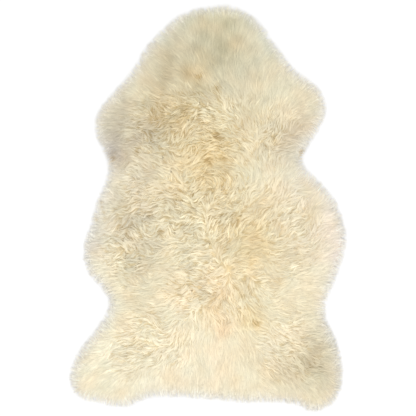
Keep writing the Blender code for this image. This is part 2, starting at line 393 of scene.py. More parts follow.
# %% The pile's surface
PILE_TOP = pelt_high.z      # the top of the solid pelt
PILE_RIM = 0.004            # height of the wool at its outermost tips
RIM_FALL = 0.022            # how far in the wool is near its full height
RIM_POWER = 1.2             # above 1, the rim starts low and then rises more steeply
ROLL_SIZE = 0.050           # from one swell of the pile to the next
ROLL_RISE = 0.007           # height of a swell
ROLL_SHARE = (0.25, 1.00)   # how much of that is left on smooth wool and on curly wool
PARTING_DIP = 0.010


def pile_height(places, depth):
    """The height of the wool's surface over the floor."""
    lie = read_map(places)
    full = 1.0 - np.exp(-(np.clip(depth, 0.0, None) / RIM_FALL) ** RIM_POWER)
    roll = between(ROLL_SHARE, lie[..., CURL]) * ROLL_RISE * soft_noise(places, ROLL_SIZE)
    top = PILE_TOP - PILE_RIM - ROLL_RISE / 2
    return PILE_RIM + full * (top + roll - PARTING_DIP * lie[..., PARTING])


print("pile:", round(float(pile_height(middle, inside_by(middle)[0])[0]), 4), "m high midway")

# %% [markdown]
# ## Materials
#
# Wool is straw coloured near the skin, clean cream further out, and a little dulled at its
# tips by wear; at the roots of curly wool, painted shade between the locks darkens it more.
# Over the pelt the colour also changes: darker and greyer towards the neck, warmer along the
# back, and paler towards the tail, with painted shade in the folds at the armpits. At the
# rim, single fibres are painted nearly white, as painted light shining through them. All of
# this is one node group, so that the under-wool and the locks share it. These changes over
# the pelt could be a painted image. Instead each point of a mesh gets its tint from a short
# table of zones, so that it can be changed by name.

# %% Colours of the wool
TONES = [  # place along a lock, colour
    # painted shade: the dark brown at the root is partly the wool's straw yellow near the skin
    # and partly painted shade deep between the locks
    (0.00, (0.44, 0.31, 0.15)),
    (0.30, (0.77, 0.64, 0.38)),
    (0.62, (0.94, 0.86, 0.63)),
    (1.00, (0.87, 0.785, 0.56)),
]
OCHRE = (0.78, 0.62, 0.35)      # stains of the wool's own grease
FUZZ = (0.97, 0.95, 0.885)      # single fibres with the light behind them
ZONES = [  # name, centre x and y, half width, half height (mm), colour that multiplies
    ("front", 10, 400, 220, 150, (0.75, 0.77, 0.79)),
    ("neck end", 10, 480, 100, 40, (0.92, 0.98, 0.92)),
    ("neck", 32, 405, 85, 80, (0.84, 0.81, 0.72)),
    ("left of the neck end", -112, 432, 45, 50, (1.03, 1.10, 1.18)),
    ("right of the neck end", 140, 425, 40, 60, (1.05, 1.14, 1.22)),
    ("left of the neck", -99, 362, 55, 70, (0.84, 0.78, 0.70)),
    ("nape", -27, 327, 40, 40, (0.92, 0.82, 0.66)),
    ("withers", -60, 288, 110, 34, (0.91, 0.89, 0.86)),
    ("right foreleg", 195, 232, 60, 35, (1.08, 1.07, 1.08)),
    ("left shoulder blade", -100, 243, 80, 60, (0.93, 0.87, 0.76)),
    ("left foreleg", -205, 190, 100, 95, (0.68, 0.67, 0.70)),
    # painted shade of the fold in the armpit on the left
    ("painted shade in the left armpit", -236, 132, 32, 36, (0.66, 0.64, 0.74)),
    ("upper back", -20, 120, 110, 110, (0.98, 0.91, 0.79)),
    ("middle of the shoulders", 27, 140, 40, 80, (0.98, 0.93, 0.84)),
    ("right shoulder", 225, 180, 95, 80, (0.77, 0.73, 0.72)),
    # painted shade of the fold in the armpit on the right
    ("painted shade in the right armpit", 238, 140, 22, 26, (0.80, 0.76, 0.80)),
    ("right side", 230, -10, 120, 160, (1.00, 1.00, 1.09)),
    ("right belly's edge", 322, -85, 45, 120, (1.02, 0.97, 1.10)),
    ("left side", -185, 15, 90, 150, (0.90, 0.90, 0.96)),
    ("left belly's edge", -290, -70, 45, 120, (0.93, 0.94, 1.08)),
    ("left flank fold", -150, -125, 75, 70, (0.92, 0.91, 0.90)),
    ("right of the back", 118, -83, 80, 105, (0.96, 0.88, 0.73)),
    ("loin", -5, -195, 110, 80, (1.08, 1.05, 1.05)),
    ("hip", 111, -272, 42, 42, (0.92, 0.82, 0.64)),
    ("spine at the tail", 32, -312, 30, 110, (1.00, 0.94, 0.90)),
    ("left haunch", -235, -378, 110, 100, (1.07, 1.10, 1.14)),
    ("right thigh", 182, -318, 60, 55, (1.12, 1.12, 1.15)),
    ("beside the tail", 96, -355, 38, 55, (0.93, 0.90, 0.85)),
    ("tail", -32, -380, 320, 150, (1.05, 1.04, 1.08)),
    ("right haunch", 257, -379, 88, 88, (0.71, 0.68, 0.63)),
]
BLOTCH_STRENGTH = 0.80      # how strong the zones' tints are,
BLOTCH_SWING = 0.5          # more or less in places,
BLOTCH_MOST = 1.3
BLOTCH_SIZE = 0.030         # this far from each other
HUE_SIZE = 0.036            # the wool is by turns pinker and more olive,
HUE_SWING = (0.030, -0.028, -0.07)
HUE_SHARE = (1.0, 0.5)      # where it is smooth and where it is curly


def tint_at(places):
    """The product of the zones' colours at each place."""
    tint = np.ones((*places.shape[:-1], 3))
    blotches = BLOTCH_STRENGTH + BLOTCH_SWING * soft_noise(places, BLOTCH_SIZE, level=8.0)
    blotches = np.clip(blotches, 0.0, BLOTCH_MOST)
    for _, x, y, half_x, half_y, colour in ZONES:
        mask = mound(places, x, y, half_x, half_y)[..., None]
        tint *= 1.0 + (np.array(colour) - 1.0) * mask * blotches[..., None]
    hue = between(HUE_SHARE, read_map(places)[..., CURL])
    hue = hue * soft_noise(places, HUE_SIZE, level=6.0)
    return tint * (1.0 + hue[..., None] * np.array(HUE_SWING))


print("tint midway:", tint_at(middle)[0].round(2), "from", len(ZONES), "zones")


# %% Small helpers for node trees
def feed(tree, node, inputs):
    """Fill a node's inputs, each from another node's output or with a plain value."""
    for name, value in inputs.items():
        socket = node.inputs[name]
        if isinstance(value, bpy.types.NodeSocket):
            tree.links.new(value, socket)
        else:
            socket.default_value = (*value, 1.0) if socket.type == "RGBA" else value


def put(tree, kind, inputs=None, **settings):
    """A new node, with its settings and its inputs."""
    node = tree.nodes.new(kind)
    for name, value in settings.items():
        setattr(node, name, value)
    feed(tree, node, inputs or {})
    return node


def math_node(tree, operation, first, second):
    node = put(tree, "ShaderNodeMath", {0: first, 1: second}, operation=operation)
    return node.outputs[0]


def stretch(tree, value, low, high):
    """The value, from 0 to 1, stretched to go from low to high."""
    return math_node(tree, "ADD", math_node(tree, "MULTIPLY", value, round(high - low, 4)), low)


def mix_colour(tree, blend, factor, first, second):
    node = put(tree, "ShaderNodeMix", data_type="RGBA", blend_type=blend)
    feed(tree, node, {0: factor, 6: first, 7: second})  # a mix of colours uses 6 and 7
    return node.outputs[2]


def relief(tree, height, strength, distance):
    node = put(tree, "ShaderNodeBump",
               {"Height": height, "Strength": strength, "Distance": distance})
    return node.outputs["Normal"]


# %% [markdown]
# Inside the group, a ramp gives the colour along a lock, darker at the roots with painted
# shade, a slow noise stains it with ochre, and the tint of the place multiplies it. Then it
# is made brighter or darker for each lock and each strand, partly as its own tone and partly
# as painted shade between the locks, and in fine streaks along the fibres. Only what changes
# over the surface goes through the group. A number that is the same all over is set on the
# shader itself.

# %% The wool's tone, as a node group
STAIN_SCALE = 13.0
STAIN_FROM, STAIN_TO = 0.52, 0.78       # the noise at which stains begin and are full
STAIN_MOST = 0.40                       # share of ochre in a full stain
# partly each lock's and strand's own tone, partly painted shade between the locks
LEAST_SHADE = 0.78                      # brightness of the darkest strand of all
LOCK_SHADE = 0.30                       # how much the brightest lock adds to it,
STRAND_SHADE = 0.14                     # and the brightest strand in a lock
STREAKS = (0.78, 1.22)                  # brightness of the fibres' streaks
FIBRE_ROUGHNESS = (0.68, 0.88)


def add_sockets(tree, in_out, kind, names, default=None):
    for name in names:
        socket = tree.interface.new_socket(name, in_out=in_out, socket_type="NodeSocket" + kind)
        if default is not None:
            socket.default_value = default


def make_tone_group():
    """Colour, roughness and fine relief of wool, from the place and the place along a lock."""
    tree = bpy.data.node_groups.new("wool_tone", "ShaderNodeTree")
    add_sockets(tree, "INPUT", "Vector", ["Place"])
    add_sockets(tree, "INPUT", "Float", ["Along", "Lock", "Strand"], 0.5)
    add_sockets(tree, "INPUT", "Float", ["Pale"], 0.0)
    add_sockets(tree, "INPUT", "Color", ["Tint"])
    add_sockets(tree, "INPUT", "Vector", ["Fibre"])
    add_sockets(tree, "OUTPUT", "Color", ["Color"])
    add_sockets(tree, "OUTPUT", "Float", ["Roughness", "Height"])
    given = put(tree, "NodeGroupInput").outputs

    ramp = put(tree, "ShaderNodeValToRGB", {"Fac": given["Along"]})
    for spot, _ in TONES[1:-1]:
        ramp.color_ramp.elements.new(spot)
    for element, (_, colour) in zip(ramp.color_ramp.elements, TONES):
        element.color = (*colour, 1.0)
    patches = put(tree, "ShaderNodeTexNoise",
                  {"Vector": given["Place"], "Scale": STAIN_SCALE, "Detail": 3.0})
    stain = put(tree, "ShaderNodeMapRange",
                {"Value": patches.outputs["Fac"], "From Min": STAIN_FROM,
                 "From Max": STAIN_TO, "To Max": STAIN_MOST})
    colour = mix_colour(tree, "MIX", stain.outputs["Result"], ramp.outputs["Color"], OCHRE)
    colour = mix_colour(tree, "MULTIPLY", 1.0, colour, given["Tint"])
    colour = mix_colour(tree, "MIX", given["Pale"], colour, FUZZ)

    shade = math_node(tree, "ADD", math_node(tree, "MULTIPLY", given["Lock"], LOCK_SHADE),
                      math_node(tree, "MULTIPLY", given["Strand"], STRAND_SHADE))
    shade = math_node(tree, "ADD", shade, LEAST_SHADE)
    fibre = put(tree, "ShaderNodeTexNoise",
                {"Vector": given["Fibre"], "Scale": 1.0, "Detail": 3.0}).outputs["Fac"]
    bright = put(tree, "ShaderNodeVectorMath", operation="SCALE")
    feed(tree, bright, {
        0: colour,
        "Scale": math_node(tree, "MULTIPLY", shade, stretch(tree, fibre, *STREAKS)),
    })
    put(tree, "NodeGroupOutput", {
        "Color": bright.outputs["Vector"],
        "Roughness": stretch(tree, fibre, *FIBRE_ROUGHNESS),
        "Height": fibre,
    })
    return tree


wool_tone = make_tone_group()
print("wool tone:", len(wool_tone.nodes), "nodes")

# %% [markdown]
# The locks and the under-wool are two materials round the same group. On a lock, the streaks
# of the fibres follow its own map. The under-wool has no such map, so its fibres swirl along
# a soft noise, as matted wool does. A low sheen stands for the fuzz that catches the light.

# %% The wool's materials
FIBRES = (750.0, 30.0, 1.0)     # fine streaks across a strand's map and slow ones along it
MATTED = (16.0, 16.0, 16.0)     # fine swirls of the under-wool,
SWIRL_SCALE = 55.0              # along a noise of this scale
FIBRE_HEIGHT = 0.0006
WOOL_SHEEN = (1.0, 0.93, 0.80)


def new_material(name):
    material = bpy.data.materials.new(name)
    material.use_nodes = True
    return material, material.node_tree, material.node_tree.nodes["Principled BSDF"]


def from_piece(tree, attribute, output="Fac"):
    """A value that is stored on the points of the piece."""
    return put(tree, "ShaderNodeAttribute", attribute_name=attribute).outputs[output]


def wool_material(name, attributes, strength):
    """Wool. The tone along a lock, and of each lock and strand, are the piece's own."""
    material, tree, shader = new_material(name)
    where = put(tree, "ShaderNodeTexCoord").outputs
    if "strand" in attributes:
        fibres = {0: where["UV"], 1: FIBRES}
    else:
        swirl = put(tree, "ShaderNodeTexNoise", {"Vector": where["Object"], "Scale": SWIRL_SCALE})
        fibres = {0: swirl.outputs["Color"], 1: MATTED}
    fibre = put(tree, "ShaderNodeVectorMath", fibres, operation="MULTIPLY")
    tone = put(tree, "ShaderNodeGroup", node_tree=wool_tone)
    feed(tree, tone, {"Place": where["Object"], "Tint": from_piece(tree, "tint", "Color"),
                      "Fibre": fibre.outputs["Vector"]})
    for attribute in attributes:
        feed(tree, tone, {attribute.title(): from_piece(tree, attribute)})
    feed(tree, shader, {
        "Base Color": tone.outputs["Color"],
        "Roughness": tone.outputs["Roughness"],
        "Normal": relief(tree, tone.outputs["Height"], strength, FIBRE_HEIGHT),
        "Sheen Weight": 0.15,
        "Sheen Roughness": 0.45,
        "Sheen Tint": WOOL_SHEEN,
        "Specular IOR Level": 0.15,
    })
    return material


lock_wool = wool_material("lock_wool", ("along", "lock", "strand", "pale"), 0.7)
under_wool = wool_material("under_wool", ("along", "pale"), 0.8)
print("materials:", lock_wool.name, "and", under_wool.name)

# %% [markdown]
# ## The hide
#
# Under the wool is the tanned hide, about 2 mm thick. It ends some 40 mm inside the tips of
# the wool, because the locks at its edge lie outwards. We extrude the outline's face, drawn
# in towards the back, into a thin sheet. Its flesh side is suede: a matt nap with soft
# blotches where the tanning took unevenly.

# %% Suede
SUEDE_DARK = (0.70, 0.60, 0.45)
SUEDE_PALE = (0.84, 0.76, 0.62)
SUEDE_ROUGHNESS = (0.80, 0.95)
SUEDE_BLOTCH = {"Scale": 9.0, "Detail": 5.0}
SUEDE_NAP = {"Scale": 700.0, "Detail": 6.0}
NAP_HEIGHT = 0.0004


def suede_material():
    material, tree, shader = new_material("suede")
    here = put(tree, "ShaderNodeTexCoord").outputs["Object"]
    blotch = put(tree, "ShaderNodeTexNoise", {"Vector": here, **SUEDE_BLOTCH})
    nap = put(tree, "ShaderNodeTexNoise", {"Vector": here, **SUEDE_NAP})
    feed(tree, shader, {
        "Base Color": mix_colour(tree, "MIX", blotch.outputs["Fac"], SUEDE_DARK, SUEDE_PALE),
        "Roughness": stretch(tree, nap.outputs["Fac"], *SUEDE_ROUGHNESS),
        "Normal": relief(tree, nap.outputs["Fac"], 0.5, NAP_HEIGHT),
        "Sheen Weight": 0.3,
    })
    return material


suede = suede_material()
print("material:", suede.name)

# %% The hide's sheet
BACK_SHARE = 0.40           # length of the line that the outline closes on, over the pelt's
HIDE_REACH = 0.930          # the hide's edge, the body of the wool being at 1
LOCK_OVERHANG = 0.018       # from the body of the wool out to the tips
HIDE_THICKNESS = 0.0020


def mesh_from(bm, name):
    mesh = bpy.data.meshes.new(name)
    bm.to_mesh(mesh)
    bm.free()
    return mesh


def make_hide():
    body = outline - outward * LOCK_OVERHANG
    edge = body * np.array([HIDE_REACH, BACK_SHARE + (1.0 - BACK_SHARE) * HIDE_REACH])
    bm = bmesh.new()
    flesh = bm.faces.new([bm.verts.new((x, y, 0.0)) for x, y in edge])
    lifted = bmesh.ops.extrude_face_region(bm, geom=[flesh])["geom"]
    top = [item for item in lifted if isinstance(item, bmesh.types.BMVert)]
    bmesh.ops.translate(bm, verts=top, vec=(0.0, 0.0, HIDE_THICKNESS))
    bmesh.ops.triangulate(bm, faces=[f for f in bm.faces if len(f.verts) > 4])
    bmesh.ops.recalc_face_normals(bm, faces=bm.faces)
    area = sum(f.calc_area() for f in bm.faces if f.normal.z > 0.9)
    mesh = mesh_from(bm, "hide")
    mesh.materials.append(suede)
    return add_object("hide", mesh), edge, area


hide, hide_edge, hide_area = make_hide()

# %% [markdown]
# ## What all the wool shares
#
# Light goes some way into real wool and evens it out, so a fleece doesn't look like a heap
# of hard splinters. We lean the normals of the wool upwards, and so the fleece takes the
# light as a whole, with the strands as a finer pattern on it. The more a normal looks down,
# the less it is leaned.
# Each point of the wool also stores its tint and its tone, for the material to read.

# %% Tones and normals of the wool
RIM_PAINTED_LIGHT_BAND = 0.017           # painted light: how far in from the outline the wool is painted nearly white, lit through its fibres
ROOTS_SHOWN = (0.20, 0.74)  # how much of a root's darker colour shows, smooth and curly; in curly wool partly painted shade between the locks
PARTING_SHADE = (0.90, 0.45)     # painted shade: share of the tone that a full parting takes away: root, tip
NORMAL_LEAN = (0.76, 0.64)  # 0 keeps a piece's own normals, 1 takes the floor's: smooth, curly
UP = np.array([0.0, 0.0, 1.0])


def tone_along(share, curl, parting):
    """How near to the pale tip the colour is, at a share of the way from root to tip; partings
    add painted shade.
    """
    tone = 1.0 - (1.0 - share) * between(ROOTS_SHOWN, curl)
    return tone * (1.0 - parting * between(PARTING_SHADE, share))


def store(mesh, tints, **values):
    """Store the tint and other numbers of each point on a mesh."""
    for name, numbers in values.items():
        layer = mesh.attributes.new(name, "FLOAT", "POINT")
        layer.data.foreach_set("value", numbers.ravel().astype(np.float32))
    layer = mesh.attributes.new("tint", "FLOAT_COLOR", "POINT")
    opaque = np.insert(tints.reshape(-1, 3), 3, 1.0, axis=1)
    layer.data.foreach_set("color", opaque.ravel().astype(np.float32))


def lean_normals(mesh, points, normals):
    """Give the mesh these normals, one a point, leaned up, and less if they look down."""
    lean = between(NORMAL_LEAN, read_map(points[:, :2])[:, CURL, None])
    lean = lean * np.clip(1.0 + normals[:, 2:3], 0.0, 1.0)
    leaned = normals * (1.0 - lean) + UP * lean
    leaned /= np.linalg.norm(leaned, axis=1, keepdims=True)
    mesh.normals_split_custom_set_from_vertices(leaned.tolist())


print("tone of a root and of a tip in curly wool:",
      round(tone_along(0.0, 1.0, 0.0), 2), tone_along(1.0, 1.0, 0.0))

# %% [markdown]
# ## The under-wool
#
# Between the locks one sees the dense wool that they grow from, never the skin. It could be
# left out where the locks are thick, but then the gaps would be black. We take a copy of
# the solid pelt, merge its points, remesh it finely, draw its rim in under the locks, and
# sink its top below their tips. A noise at two sizes makes it knobbly.

# %% A copy of the solid with even faces
UNDER_VOXEL = 0.0085        # the size of its faces
MERGE_REACH = 1e-5          # points of the solid that are nearer than this become one


def remeshed_pelt():
    """A copy of the solid pelt with small, even faces."""
    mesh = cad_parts["sheepskin"].data.copy()
    mesh.materials.clear()
    bm = bmesh.new()
    bm.from_mesh(mesh)
    bmesh.ops.remove_doubles(bm, verts=bm.verts, dist=MERGE_REACH)
    bm.to_mesh(mesh)
    bm.free()
    body = add_object("under_wool", mesh)
    remesh = body.modifiers.new("even faces", "REMESH")
    remesh.mode = "VOXEL"
    remesh.voxel_size = UNDER_VOXEL
    fine = finished_mesh(body)
    body.modifiers.clear()
    body.data = fine
    return body


under = remeshed_pelt()
print("even copy of the solid:", len(under.data.polygons), "faces")

# %% Grow the under-wool from it
UNDER_SINK = (0.0028, 0.0068)   # from the pile's surface down to it, smooth and curly
UNDER_EDGE = 0.009              # how far inside the outline the under-wool ends
UNDER_DROP = 0.010              # how far its edge drops below the pile,
UNDER_DROP_BAND = 0.006         # and over what width
UNDER_KNOBS = ((0.018, 0.0016), (0.007, 0.0008))    # size and rise of the knobs
KNOB_SHARE = (0.2, 1.0)         # how much of that is left on smooth wool and on curly wool
UNDER_GAP = 0.0004              # at least this far over the hide


def height_over(mesh, places):
    """The height of the mesh's top straight over or under each place."""
    tree = BVHTree.FromPolygons([vertex.co for vertex in mesh.vertices],
                                [polygon.vertices for polygon in mesh.polygons])
    down = Vector((0.0, 0.0, -1.0))
    hits = [tree.ray_cast(Vector((x, y, 1.0)), down)[0] for x, y, _ in places]
    return np.array([z if hit is None else hit.z for hit, z in zip(hits, places[:, 2])])


def grow_under_wool(fine):
    """Move the points of the even copy to where the under-wool ends."""
    points = np.empty(len(fine.vertices) * 3)
    fine.vertices.foreach_get("co", points)
    points = points.reshape(-1, 3)
    share = points[:, 2] / height_over(fine, points)
    depth, nearest = inside_by(points[:, :2])
    points[:, :2] -= outward[nearest] * np.clip(UNDER_EDGE - depth, 0.0, None)[:, None]
    depth = np.maximum(depth, UNDER_EDGE)
    lie = read_map(points[:, :2])
    surface = pile_height(points[:, :2], depth) - between(UNDER_SINK, lie[:, CURL])
    surface -= UNDER_DROP * np.exp(-(depth - UNDER_EDGE) / UNDER_DROP_BAND)
    knobs = np.zeros(len(points))
    for size, rise in UNDER_KNOBS:
        knobs += rise * np.array([noise.noise(Vector(point) / size) for point in points])
    knobs *= between(KNOB_SHARE, lie[:, CURL])
    points[:, 2] = np.maximum(share * surface + knobs * share, HIDE_THICKNESS + UNDER_GAP)
    fine.vertices.foreach_set("co", points.ravel())
    # painted shade: the under-wool takes the dark colour of the roots, darker still in partings;
    # near its edge painted light makes it nearly white
    store(fine, tint_at(points[:, :2]),
          along=tone_along(0.0, lie[:, CURL], lie[:, PARTING]),
          pale=np.exp(-depth / RIM_PAINTED_LIGHT_BAND))
    fine.materials.append(under_wool)
    fine.shade_smooth()
    fine.update()
    lean_normals(fine, points, np.array([vertex.normal[:] for vertex in fine.vertices]))
    return points[:, 2].max()


print("under-wool:", round(float(grow_under_wool(under.data)), 4), "m high")

# %% [markdown]
# ## Locks
#
# A lock is a few strands of wool that cling together and share one wave: here a broad flat
# core, which covers the gaps, with finer loose strands on it. Each strand is a closed spike
# with a flat upper side, like a loose twist of fibres. Blender's hair would do for a
# picture, but the exported model needs real faces. All the strands of a region become one
# mesh, made from arrays, because thousands of separate objects would be slow to make and to
# draw. Each strand also gets its own square of a UV map, for its streaks of fibres.

# %% The faces of one strand
CORNERS = 3                 # corners of a strand's section


def strand_pattern(steps):
    """Faces of one strand, and the place of each corner in the strand's square of the map."""
    faces, corners = [], []
    for step in range(steps - 1):
        low, high = step / steps, (step + 1) / steps
        for side in range(CORNERS):
            a, b = step * CORNERS + side, step * CORNERS + (side + 1) % CORNERS
            left, right = side / CORNERS, (side + 1) / CORNERS
            faces += [(b, a, a + CORNERS), (b, a + CORNERS, b + CORNERS)]
            corners += [(right, low), (left, low), (left, high)]
            corners += [(right, low), (left, high), (right, high)]
    last = (steps - 1) * CORNERS
    for side in range(CORNERS):
        left, right = side / CORNERS, (side + 1) / CORNERS
        faces.append((last + (side + 1) % CORNERS, last + side, steps * CORNERS))
        corners += [(right, 1 - 1 / steps), (left, 1 - 1 / steps), ((left + right) / 2, 1.0)]
    faces.append(tuple(range(CORNERS)))     # the root's end, a sliver beside the square
    corners += [(0.0, 0.0), (0.1, -0.04), (0.2, 0.0)]
    return np.array(faces), np.array(corners)


print("a strand of 6 steps:", len(strand_pattern(6)[0]), "faces")

# %% The sections along a strand
ROOT_SHARE = 0.70           # a strand's width at its root, over its full width,
ROOT_SWELL = 1.2            # and how soon it gets to the full width
TIP_POWERS = (2.6, 0.8)     # how late and how sharply it narrows to its tip,
TIP_LEAST = 0.12            # down to this share
TINY = 1e-12                # keeps a length of nothing from being divided by


def taper(share):
    """A strand's width along it: slim at its root, full after a quarter, thin at its tip."""
    slim = np.minimum(1.0, ROOT_SHARE + ROOT_SWELL * share)
    return np.maximum(slim * (1.0 - share ** TIP_POWERS[0]) ** TIP_POWERS[1], TIP_LEAST)


def sections(lines, widths, flats):
    """Rings of points round the lines, with their own normals, and those of the tips."""
    ahead = np.gradient(lines, axis=1)
    ahead /= np.linalg.norm(ahead, axis=2, keepdims=True) + TINY
    sideways = np.cross(ahead, UP)
    sideways /= np.linalg.norm(sideways, axis=2, keepdims=True) + TINY
    upwards = np.cross(sideways, ahead)
    half = widths[:, None] / 2 * taper(np.linspace(0.0, 1.0, lines.shape[1]))
    turn = 2 * np.pi * np.arange(CORNERS) / CORNERS - np.pi / 2
    across = sideways[:, :-1, None, :] * np.cos(turn)[:, None]
    upright = upwards[:, :-1, None, :] * np.sin(turn)[:, None]
    rings = across + flats[:, None, None, None] * upright
    rings = lines[:, :-1, None, :] + half[:, :-1, None, None] * rings
    return rings, across + upright, upwards[:, -1:, :]


print("taper at five stations:", taper(np.linspace(0.0, 1.0, 5)).round(2))

# %% One mesh from many strands
MAP_MARGIN = (0.10, 0.90)   # the part of its square of the map that a strand fills


def on_rings(values):
    """Values for each step of each strand, given to each corner of its rings and its tip."""
    return np.concatenate([np.repeat(values[:, :-1], CORNERS, axis=1), values[:, -1:]], axis=1)


def strands_mesh(name, lines, widths, flats, locks, tones, along, pale):
    """A mesh of spikes along lines of shape (strands, steps + 1, 3)."""
    count, steps = len(lines), lines.shape[1] - 1
    rings, own, tip_normals = sections(lines, widths, flats)
    points = np.concatenate([rings.reshape(count, -1, 3), lines[:, -1:, :]], axis=1)
    normals = np.concatenate([own.reshape(count, -1, 3), tip_normals], axis=1)
    per = points.shape[1]
    pattern, corners = strand_pattern(steps)
    faces = (pattern[None] + (np.arange(count) * per)[:, None, None]).reshape(-1, 3)
    mesh = bpy.data.meshes.new(name)
    mesh.from_pydata(points.reshape(-1, 3), [], faces)
    store(mesh, on_rings(tint_at(lines[..., :2])), along=on_rings(along), pale=on_rings(pale),
          lock=np.repeat(locks, per), strand=np.repeat(tones, per))
    side = math.ceil(math.sqrt(count))
    cells = np.column_stack([np.arange(count) % side, np.arange(count) // side])
    spread = (cells[:, None, :] + between(MAP_MARGIN, corners)[None]) / side
    layer = mesh.uv_layers.new(name="OFBake")
    layer.uv.foreach_set("vector", spread.reshape(-1).astype(np.float32))
    mesh.shade_smooth()
    lean_normals(mesh, points.reshape(-1, 3), normals.reshape(-1, 3))
    mesh.materials.append(lock_wool)
    mesh.update()
    return mesh


# %% [markdown]
# A lock's path is walked in small steps from its root. At each step it follows the lie of
# the wool there, turned a little by the lock's own tousle, and swings from side to side with
# the crimp. The crimp comes from a noise in space, because neighbours on a real fleece share
# their waves. The height climbs from the under-wool to the surface of the pile, so the tips
# of one row of locks lie on the roots of the next, like thatch.

# %% The crimp
CRIMP_SIZE = 0.0078         # half a wave of the crimp, about
CRIMP_SHARE = 0.5           # 1 for round patches of crimp, less for waves that neighbours share


def heading_of(lie):
    """The direction of the wool's lie, as an angle."""
    return np.arctan2(lie[..., 1], lie[..., 0])


def crimp_wave(spots, heading):
    """Waves from -1 to 1, short along the wool and wide across it."""
    lying = soft_noise(spots * np.array([1.0, CRIMP_SHARE]), CRIMP_SIZE, level=2.0)
    standing = soft_noise(spots * np.array([CRIMP_SHARE, 1.0]), CRIMP_SIZE, level=4.0)
    weight = np.cos(heading) ** 2
    return weight * lying + (1.0 - weight) * standing


print("crimp midway:", crimp_wave(middle, heading_of(read_map(middle))).round(2))

# %% Walk the strands of many locks
ROOT_BACK = 0.45            # the root's distance behind a lock's middle, over its length
LOCK_TURN = (4, 17)         # degrees that a lock lies off its neighbours: smooth, curly
STRAND_TURN = 8             # degrees that a loose strand strays from its lock
CRIMP_TURN = (8, 82)        # degrees that the waves swing a lock: smooth, curly
CRIMP_SPREAD = (0.7, 1.2)   # times this, from lock to lock
CORE_CRIMP = 0.4            # a core swings less than its loose strands
STRAND_LENGTH = (0.80, 1.15)    # over the lock's length
STRIDE = (0.75, 1.00)       # a step over its even share of the length: at root, at tip
HALF_LOCK = (0.0045, 0.0075)    # half a lock's width at its root
GRIP = (0.05, 0.43)         # how far a lock draws together to its tip: smooth, curly
GRIP_POWER = 1.2            # above 1, it draws together late


def towards(angle):
    """Steps of length 1 in the direction of the angle."""
    return np.stack([np.cos(angle), np.sin(angle)], axis=-1)


def walk_locks(dice, middles, length, steps, strands, tousle):
    """Centre lines of strands, the lock of each, and 0 for a lock's core and 1 for the rest."""
    count = len(middles)
    lie = read_map(middles)
    curl = lie[:, CURL]
    heading = heading_of(lie) + tousle
    own_turn = tousle + dice.normal(0.0, 1.0, count) * np.radians(between(LOCK_TURN, curl))
    place = middles - ROOT_BACK * length[:, None] * towards(heading)
    crimp = np.radians(between(CRIMP_TURN, curl)) * dice.uniform(*CRIMP_SPREAD, count)
    lock = np.repeat(np.arange(count), strands)
    many = len(lock)
    loose = (np.arange(many) % strands > 0).astype(float)
    aside = dice.uniform(-1.0, 1.0, many) * loose
    stray = dice.normal(0.0, 1.0, many) * np.radians(STRAND_TURN) * loose
    own_length = length[lock] * dice.uniform(*STRAND_LENGTH, many)
    half_lock = dice.uniform(*HALF_LOCK, count)[lock]
    spots = np.repeat(place, strands, axis=0)
    path = [spots]
    for step in range(steps):
        along = heading_of(read_map(spots))
        swing = crimp[lock] * crimp_wave(spots, along) * between((CORE_CRIMP, 1.0), loose)
        stride = own_length[:, None] / steps * between(STRIDE, (step + 0.5) / steps)
        spots = spots + stride * towards(along + own_turn[lock] + stray + swing)
        path.append(spots)
    path = np.stack(path, axis=1)
    share = np.linspace(0.0, 1.0, steps + 1)
    grip = between(GRIP, curl)[lock][:, None] * share[None] ** GRIP_POWER
    pull = aside[:, None] * half_lock[:, None] * (1.0 - grip)
    across = np.column_stack([-np.sin(heading), np.cos(heading)])[lock]
    return path + across[:, None, :] * pull[..., None], lock, loose


# %% Lay the strands on the pile
CORE_SINK = 0.0010          # how much lower a lock's core lies than its loose strands
ROOT_SINK = 0.0006          # how deep the roots go into the under-wool
CLIMB = 1.8                 # above 1, a strand climbs early and then lies on the pile
STRAND_SCATTER = (0.0002, 0.0010)   # up and down from strand to strand: smooth, curly
LEAST_HEIGHT = 0.0012       # of any strand's middle over the floor


def lift_path(path, height):
    """Flat paths and their heights as one array of lines."""
    return np.concatenate([path, height[..., None]], axis=2)


def lay_on_pile(dice, path, lock, loose, lift):
    """Heights along flat paths: from the under-wool up to the surface of the pile."""
    count, points = path.shape[:2]
    surface = pile_height(path, inside_by(path)[0])
    curl = read_map(path)[..., CURL]
    ease = 1.0 - (1.0 - np.linspace(0.0, 1.0, points)[None]) ** CLIMB
    height = surface - (between(UNDER_SINK, curl) + ROOT_SINK) * (1.0 - ease)
    height += lift[lock][:, None] * ease
    height += dice.normal(0.0, 1.0, count)[:, None] * between(STRAND_SCATTER, curl)
    height -= CORE_SINK * (1.0 - loose)[:, None]
    return lift_path(path, np.maximum(height, LEAST_HEIGHT))


def add_piece(name, mesh):
    print(name + ":", len(mesh.polygons), "triangles")
    return add_object(name, mesh)


def finish_strands(dice, name, lines, widths, flats, locks):
    """The tones, the mesh and the piece, from its strands."""
    share = np.linspace(0.0, 1.0, lines.shape[1])[None]
    lie = read_map(lines[..., :2])
    along = tone_along(share, lie[..., CURL], lie[..., PARTING])
    depth = np.clip(inside_by(lines[..., :2])[0], 0.0, None)
    pale = share * np.exp(-depth / RIM_PAINTED_LIGHT_BAND)
    tones = dice.uniform(0.0, 1.0, len(lines))
    return add_piece(name, strands_mesh(name, lines, widths, flats, locks, tones, along, pale))


# %% [markdown]
# The locks are spread on a staggered grid, each a little off its place, so that they cover
# the pelt without gaps or rows. The grid gives the middle of each lock, not its root, and so
# the cover stays even where the lie of the wool fans out. While they grow, we add up how
# well they cover each small cell of the pelt, to find the gaps afterwards.

